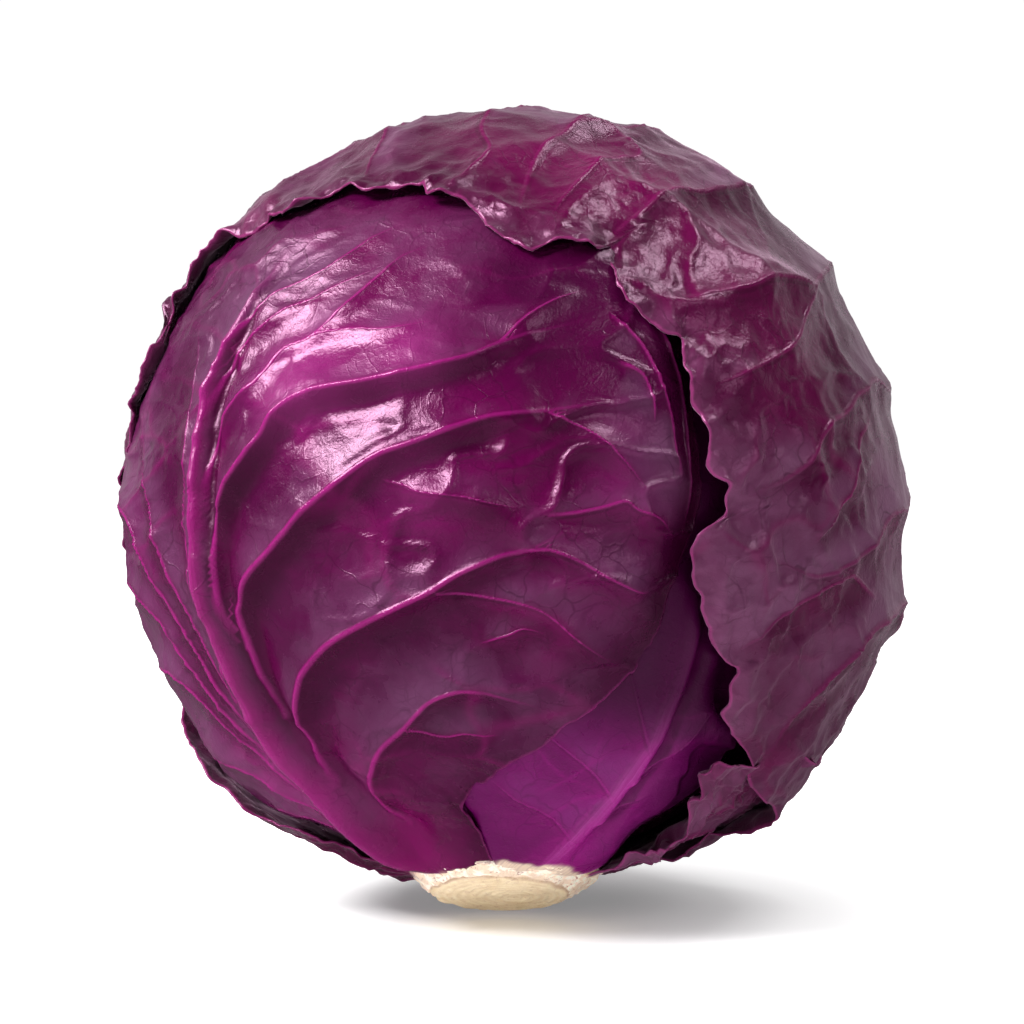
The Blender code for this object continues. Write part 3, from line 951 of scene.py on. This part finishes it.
# %% Front leaf: shape
lon, pol = lon_pol(front.ways)
front.height += MM * (-2.2 + 2.2 * near(front.ways, -76, 82, 18)
                      + 1.0 * near(front.ways, -56, 112, 14)
                      - 1.2 * near(front.ways, -12, 42, 16))
add_rib(front, FRONT_RIB, 4.6, 1.0, 3.8, valley=3.6, shoulder=1.6)
for points, width, height, step, reach in FRONT_RIGHT_VEINS:
    # Those that leave another vein, far from the rib, rise slowly.
    add_vein(front, points, width, height, 1.4 * step, reach,
             start=0.12 if points[0][0] < -40 else 0.45)
for points, width, height, step, reach in FRONT_LEFT_VEINS:
    add_vein(front, points, width, height, 1.7 * step, reach + 1, lee=-1, start=0.5)
crumple(front, 0.8, 1.9, 0.20, seed=20, size=15, pull=(0.55, 0.8, 1.0), ridges=0.3,
        creases=0.5 + 1.2 * near(front.ways, 8, 70, 15),
        still=0.7 * near(front.ways, -14, 104, 14))
for points, width in (
    ([(17, 104), (20.5, 98), (23.6, 92), (25, 85), (26, 78), (26.8, 72), (26, 66)], 1.0),
    ([(14, 97), (18, 93), (20.5, 88), (22.6, 83), (23.6, 78), (24.6, 74)], 0.7),
    ([(15, 90), (18, 88.5), (19.5, 85), (20, 82)], 0.6),
):
    add_vein(front, points, width, 0.8 * width, 0.5, 4, drop=1.2, lee=-1)
left = smooth((-36 - lon) / 16)
tuck(front, crown, 3.4 - 1.2 * left, 12, 0.08 - 0.06 * left)
tuck(front, lower_left, 4.0)
roll = smooth((lon + 8) / 14) * smooth((pol - 40) / 20) * smooth((112 - pol) / 8)
front.height -= MM * 3.2 * roll * smooth(1 - front.edge / (9 * MM))
ruffle(front, 0.5, 7, 5, seed=28)
torn = np.exp(-np.maximum(front.edge, 0) / (2.5 * MM)) * near(front.ways, -14, 23, 8)
front.height += MM * 1.6 * torn * noise(front.spots, 2.4 * MM, 29, 2)

# %% Front leaf: wax, clear fields, painted highlights and painted shade
# At the far left the extra wax is partly a painted sheen, where the main lamp grazes that side.
front.mark("wax", 0.08 * smooth((78 - pol) / 16) * smooth((pol - 18) / 14)
           + 0.35 * smooth((-60 - lon) / 5))
front.patches(
    "wax", (-0.4, -30, 90, 9), (0.6, -12, 104, 10), (0.2, -26, 91, 8), (0.45, -42, 104, 12),
    (0.2, -12, 36, 12), (0.25, -22, 42, 8), (0.3, -70, 50, 14), (-0.5, 3, 82, 13),
    (-0.4, 4, 101, 7), (-0.25, -45, 40, 10), (-0.3, -15, 64, 7))
# These wax patches lie on facets that face the lamps: wax bloom, and partly painted highlights.
for spot in (
    (12, 80), (14, 75.5), (20, 72), (-6, 70), (11, 65), (15, 57), (-20, 58), (4, 46),
):
    front.patches("wax", (0.25, *spot, 5))
# The pale tint at the far left is a painted sheen. The pale patches below are partly paler tissue
# and partly painted highlights, on the broad field at the top left and on lit facets.
front.mark("pale", 0.06 * smooth((-61 - lon) / 6))
front.patches(
    "pale", (0.30, -31, 91, 6), (0.14, 15, 80, 3), (0.14, 16, 73, 3), (0.14, -13, 72, 4),
    (0.08, 12, 60, 4), (0.12, -26, 91.5, 5), (0.3, -14, 91.5, 4), (0.25, -66, 34, 7))
front.patches("flush", (0.5, -20, 106, 10), (0.4, 4, 74, 12), (0.35, -48, 20, 12))
# Painted shade: the crack at the torn margin, and the margin where it rolls down into the gap.
front.mark("deep", 1.2 * torn + 0.9 * roll * smooth(1 - front.edge / (7 * MM)))
# Painted shade in troughs below the veins at the right.
front.patches(
    "deep", (0.5, 5, 77.5, 5), (0.45, -3, 67.5, 4), (0.4, 14, 65.5, 3), (0.35, 6, 88, 5))
# Painted shade where the crown leaf's rim overhangs the right margin.
front.mark("shade", 0.85 * roll * smooth(1 - front.edge / (11 * MM)))
place_leaf(front, "front_leaf_blade", "front_leaf", wine)

# %% [markdown]
# ## The bright leaf at the lower right
#
# A younger leaf with less wax. A pale lilac rib runs up it from the stump and goes under
# the outermost leaf. It could end where the others cover it. Here it goes on and tucks under
# each of them, so that no gap shows from any side.

# %% Right leaf
right = Leaf(
    (20, 50),
    [
        (-12, 11), (16, 10.7), (48, 11.5), (60, 17), (64, 22.5), (66, 29), (64, 34),
        (60, 39), (57, 44), (56, 50), (63, 60), (66, 74), (56, 92), (34, 104), (12, 100),
        (-6, 88), (-18, 72), (-24, 54), (-25, 38), (-22, 24), (-18, 16),
    ],
    cells=210, torn=0.8 * MM,
)
RIGHT_RIB = [(22, 11), (28, 17), (31.5, 23), (33, 30), (34, 36), (34, 42), (34, 48), (33, 56),
             (32, 66)]
RIGHT_VEINS = [
    ([(33, 30), (38, 33), (43, 38), (46, 45)], 0.5, 0.3, 0.5, 5, 1),
    ([(31, 22), (38, 25), (46, 29)], 0.5, 0.3, 0.5, 5, 1),
    ([(34, 36), (28, 41), (22, 48), (17, 56)], 0.5, 0.3, 0.6, 7, -1),
    ([(32, 27), (22, 31), (12, 35), (4, 39)], 0.5, 0.3, 0.6, 7, -1),
    ([(28, 18), (14, 22), (2, 25), (-8, 30)], 0.5, 0.3, 0.6, 7, -1),
]
right.height += MM * (-4.0 - 3.5 * near(right.ways, 26, 78, 16)
                      - 1.5 * near(right.ways, 44, 48, 7) - 1.0 * near(right.ways, 48, 30, 5))
add_rib(right, RIGHT_RIB, 2.6, 1.8, 1.5, valley=1.0, shoulder=0.4)
for points, width, height, step, reach, lee in RIGHT_VEINS:
    add_vein(right, points, width, height, step, reach, lee=lee)
crumple(right, 0.5, 0.6, 0.10, seed=60, size=12)
ruffle(right, 0.8, 6, 4, seed=68)
tuck(right, front, 5.6)
tuck(right, crown, 6.5)
tuck(right, lower_right, 5.0, 4)
# Painted shade: the upper part lies under the front leaf's and the crown's margins, and the
# crevices at its right lie against the lower right leaf.
right.mark("shade", 0.9 * smooth((lon_pol(right.ways)[1] - 31) / 15))
right.patches("deep", (0.8, 50, 44, 6), (0.7, 55, 30, 4))
# A paler, waxier patch at the lower right: partly a painted highlight.
right.patches("wax", (0.5, 42, 24, 8))
right.patches("pale", (0.10, 42, 24, 9))
place_leaf(right, "right_leaf_blade", "right_leaf", bright)

# %% [markdown]
# ## The leaves inside
#
# Little of these is seen: dark strips down in the gap between the outer leaves. The gap
# could be painted dark, but it is seen from many sides, so there are leaves in it. They are
# made like the others, with fewer points, and the right one is darkened all over by painted
# shade, for the gap it lies in. The tight heart within them keeps its CAD shape and gets the
# leaves' finish.

# %% Inner leaves
inner_right = Leaf(
    (42, 76),
    [
        (2, 16), (40, 15.2), (82, 16), (104, 40), (112, 80), (100, 114), (60, 134),
        (10, 130), (-18, 110), (-26, 80), (-23, 50), (-12, 26),
    ],
    cells=110, torn=0.5 * MM,
)
inner_right.height -= MM * 9.4
for points in ([(22, 20), (24, 50), (26, 76), (24, 104)], [(28, 40), (30, 66), (32, 96)]):
    add_vein(inner_right, points, 0.9, 0.6, 1.2, 5)
crumple(inner_right, 0.3, 0.6, 0.1, seed=110)
# Painted shade over the whole leaf, for the dark gap it lies in.
inner_right.mark("shade", 0.8 + 0 * inner_right.edge)
place_leaf(inner_right, "inner_right_leaf_blade", "inner_right_leaf", wine)

inner_back = Leaf(
    (-150, 98),
    [
        (-50, 15), (-92, 13.8), (-135, 13.8), (180, 13.8), (140, 14), (120, 24), (120, 52),
        (122, 84), (112, 120), (80, 144), (20, 150), (-22, 134), (-38, 110), (-38, 80),
        (-37, 50), (-40, 28),
    ],
    cells=110, torn=0.5 * MM,
)
inner_back.height -= MM * 8.4
for points in ([(-92, 16), (-90, 50), (-88, 90)], [(180, 16), (178, 60), (175, 110)]):
    add_vein(inner_back, points, 0.9, 0.4, 0.5, 5)
crumple(inner_back, 0.3, 0.5, 0.1, seed=120)
place_leaf(inner_back, "inner_back_leaf_blade", "inner_back_leaf", wine)

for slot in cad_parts["heart"].material_slots:
    slot.material = wine

# %% [markdown]
# ## The stump
#
# One cut took the head off its stalk, and the older leaves with it. The flat face shows
# the stalk's rings, and round it stand the cut ends of the leaves' bases, in ragged steps.
# It could be sculpted from a disc. Here it is a rule over a round plate, which is easier to
# correct: for each distance from the axis, and each way round, how far the surface lies
# behind the face.

# %% Stump: shape
FACE = 84.9
PLATE = 24
TURNS = 360
RINGS = 90


def stump_depth(span, way):
    """How far behind the face the surface lies, in millimetres, and how broken it is.

    Span is the distance from the stalk's axis, in millimetres too, and way the angle."""
    spots = np.stack([span * np.cos(way), span * np.sin(way), 0 * span], axis=-1)
    wobble = noise(spots, 7.0, 200, 2)
    ring = 0.10 * np.sin(2 * pi * (span + 0.5 * wobble) / 1.7)
    face = 0.4 * (span / 14) ** 4 + ring + 0.15 * noise(spots, 2.5, 203, 2)
    rim = 13.6 - 2.8 * np.sin(way) + 0.6 * noise(spots, 8.0, 205) + 0.3 * noise(spots, 2.0, 206)
    out = np.maximum(span - rim, 0)
    loop = np.stack([6 * np.cos(way), 6 * np.sin(way), 0 * span], axis=-1)
    tear = noise(loop + [0, 0, 0.3] * span[..., None], 1.6, 207, 2)
    blocks = np.round(1.6 * noise(loop, 1.5, 208, 2) + 0.5 * noise(loop, 0.5, 209)) / 1.6
    collar = 19.4 + 2.6 * blocks - 2.6 * np.sin(way) + 0.3 * noise(spots, 1.2, 211)
    steps = 0.45 * smooth(out / 0.5) + 0.30 * smooth((out - 2.2 - 0.9 * tear) / 0.5)
    behind = 0.5 - 0.5 * np.cos(way)
    slant = steps + out * (0.10 + 0.54 * behind) + 0.8 * tear * smooth(out / 1.2)
    beyond = np.maximum(span - collar, 0)
    depth = face + np.maximum(slant, 0) + 2.6 * beyond
    return depth + 0.22 * noise(spots, 1.1, 210, 2) * smooth(out), smooth(out / 0.8)


span, way = np.meshgrid(
    PLATE * np.linspace(0, 1, RINGS + 1)[1:] ** 0.75, np.arange(TURNS) * 2 * pi / TURNS,
    indexing="ij")
depth, broken = stump_depth(span, way)
depth = np.where(span > 0.97 * PLATE, 14, depth)
plane = np.stack([span * np.sin(way), span * np.cos(way)], axis=-1)
points = MIDDLE + MM * (
    plane[..., :1] * TO_RIGHT + plane[..., 1:] * TO_FRONT + (FACE - depth[..., None]) * TO_STALK)
points[..., 2] = np.maximum(points[..., 2], 0.0001)
tip = MIDDLE + MM * (FACE - stump_depth(np.zeros(1), np.zeros(1))[0][0]) * TO_STALK
back = MIDDLE + MM * (FACE - 16) * TO_STALK
points = np.vstack([points.reshape(-1, 3), tip, back])
first = np.arange(TURNS)
after = (first + 1) % TURNS
faces = [(RINGS * TURNS, int(b), int(a)) for a, b in zip(first, after)]
for ring in range(RINGS - 1):
    low, high = ring * TURNS, (ring + 1) * TURNS
    faces += [(low + a, low + b, high + b, high + a)
              for a, b in zip(first.tolist(), after.tolist())]
last = (RINGS - 1) * TURNS
faces += [(RINGS * TURNS + 1, last + int(a), last + int(b)) for a, b in zip(first, after)]

# %% [markdown]
# Cut stalk is cream, and wetter and yellower in its rings. Air browns the broken edge round
# the face and the cracks, and a darker line along the step from face to collar is partly
# painted shade. At its outer edge the plate takes the leaves' purple, so it goes over into
# them. Pith lets light through, which a little scattering stands for. A faint glow of its own
# colour is painted light that brightens the stump.

# %% Stump: finish
material, shader = new_material("cut_stump")
swirls = grain(320, 4, 0.6)
specks = grain(1500, 3, 0.6)
rings = (mark("span") * 3.6 + swirls * 5).maths("SINE") * 0.5 + 0.5
broken_share = mark("broken")
dry = (0.45 + 0.3 * rings + 1.6 * (swirls - 0.5)).clamped()
colour = mix((0.70, 0.52, 0.31), (0.90, 0.76, 0.54), dry)
colour = mix(colour, (0.86, 0.68, 0.54), broken_share * 0.8)
colour = mix(colour, (1.0, 0.92, 0.78), broken_share * swirls.ramp(0.46, 0.58))
cracks = grain(420, 4, 0.7, 1.5).ramp(0.56, 0.66) * (0.25 + 0.6 * broken_share)
colour = mix(colour, (0.40, 0.17, 0.12), cracks)
colour = mix(colour, (0.50, 0.30, 0.16), specks.ramp(0.60, 0.72) * 0.4)
# Along the step from face to collar: partly browning, partly painted shade.
edge = broken_share * (1 - broken_share) * 4
colour = mix(colour, (0.42, 0.22, 0.11), edge * (0.3 + swirls.ramp(0.4, 0.6) * 0.5))
purple = (mark("span") * 0.28 + swirls * 1.3 + specks * 0.5).ramp(6.3, 6.9)
colour = mix(colour, (0.13, 0.008, 0.06), purple)
Value.put(shader.inputs["Base Color"], colour)
# Painted light: a faint glow in the stump's own colour brightens it.
Value.put(shader.inputs["Emission Color"], colour)
shader.inputs["Emission Strength"].default_value = 0.11
shader.inputs["Roughness"].default_value = 0.6
shader.inputs["Subsurface Weight"].default_value = 0.15
shader.inputs["Subsurface Radius"].default_value = (0.004, 0.002, 0.001)
Value.put(shader.inputs["Normal"], Value.node(
    "ShaderNodeBump", Height=specks + 0.6 * swirls + 0.4 * rings, Strength=0.9,
    Distance=0.3 * MM))

# %% Stump: piece
stump = new_piece("cut_stump", points, faces, material)
stump.data.shade_smooth()
set_mark(stump, "span", np.append(span.ravel(), [0, 20]))
set_mark(stump, "broken", np.append(broken.ravel(), [0, 1]))
print("cut_stump", len(faces), "faces")
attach(stump, "root")
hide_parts("stalk")

# %% [markdown]
# ## The floor, the lights and the camera
#
# A plain white table that meets a white room, so no horizon shows. A studio would use a
# lit sweep of paper. Here the floor glows instead, less close round the head, so a soft
# shadow shows there. It gives the head half of that glow, and none in the head's gloss,
# where it would lay a grey veil over the dark leaves.
#
# The main lamp is large, soft and at the upper left. A weak one at the right lights the
# pleats from their other side, and a small one high at the right grazes the crown's
# crumples. A wide fill in front stays out of reflections. The room is bright only behind
# the head, which draws pale, grazing reflections along its edges.

# %% Floor
FLOOR = 6.0
material, shader = new_material("white_floor")
distance = Value.node("ShaderNodeVectorMath", {"operation": "LENGTH"}, out=1, _0=here())
mirrored = Value.node("ShaderNodeLightPath", out="Is Glossy Ray")
Value.put(shader.inputs["Base Color"], mix((0.8, 0.8, 0.8), (0.12, 0.12, 0.12), mirrored))
shader.inputs["Roughness"].default_value = 0.9
shader.inputs["Specular IOR Level"].default_value = 0.0
glow = 0.22 + 0.93 * distance.ramp(0.02, 0.13) + 0.004 * grain(60)
seen = Value.node("ShaderNodeLightPath", out="Is Camera Ray")
level = glow * (0.5 + 0.5 * seen) * (1 - mirrored)
Value.put(shader.inputs["Emission Color"], Value.node(
    "ShaderNodeCombineColor", _0=level, _1=level, _2=level))
shader.inputs["Emission Strength"].default_value = 1.0
corners = [(-FLOOR, -FLOOR, 0), (FLOOR, -FLOOR, 0), (FLOOR, FLOOR, 0), (-FLOOR, FLOOR, 0)]
floor = new_piece("floor", corners, [(0, 1, 2, 3)], material)
floor.location.z = -0.0002


# %% Lights
def softbox(name, place, size, power, mirrored=True):
    """A rectangular lamp that points at the head, and may stay out of its reflections."""
    lamp = bpy.data.lights.new(name, "AREA")
    lamp.shape = "RECTANGLE"
    lamp.size, lamp.size_y = size
    lamp.energy = power
    box = bpy.data.objects.new(name, lamp)
    box.location = place
    box.visible_glossy = mirrored
    aim = Vector(MIDDLE) - Vector(place)
    box.rotation_euler = aim.to_track_quat("-Z", "Y").to_euler()
    bpy.context.scene.collection.objects.link(box)


softbox("key", (-1.02, -0.42, 1.01), (0.85, 0.45), 43)
softbox("side", (0.80, -0.85, 0.80), (0.4, 0.35), 2.0)
softbox("top", (0.62, 0.05, 1.18), (0.3, 0.3), 4.8)
softbox("fill", (0.3, -1.3, 0.20), (1.4, 0.6), 2.0, mirrored=False)

# %% The room
world = bpy.data.worlds.new("studio")
world.use_nodes = True
bpy.context.scene.world = world
Value.tree = world.node_tree
background = world.node_tree.nodes["Background"]
direction = Value.node("ShaderNodeTexCoord", out=0)
behind = Value.node("ShaderNodeSeparateXYZ", out=1, _0=direction).ramp(0.0, 0.95)
seen = Value.node("ShaderNodeLightPath", out="Is Camera Ray")
room = 0.03 + 0.42 * behind
Value.put(background.inputs["Strength"], room + seen * (1.02 - room))
background.inputs["Color"].default_value = (1, 1, 1, 1)

# %% Camera
CAMERA_DISTANCE = 0.65
CAMERA_RISE = radians(1.5)
lens = bpy.data.cameras.new("camera")
lens.lens = 107
lens.sensor_width = 36
lens.shift_x = -0.001
lens.shift_y = -0.005
camera = bpy.data.objects.new("camera", lens)
camera.location = MIDDLE + CAMERA_DISTANCE * np.array([0, -cos(CAMERA_RISE), sin(CAMERA_RISE)])
camera.rotation_euler = (pi / 2 - CAMERA_RISE, 0, 0)
bpy.context.scene.collection.objects.link(camera)
bpy.context.scene.camera = camera
bpy.context.scene.view_settings.view_transform = "Standard"
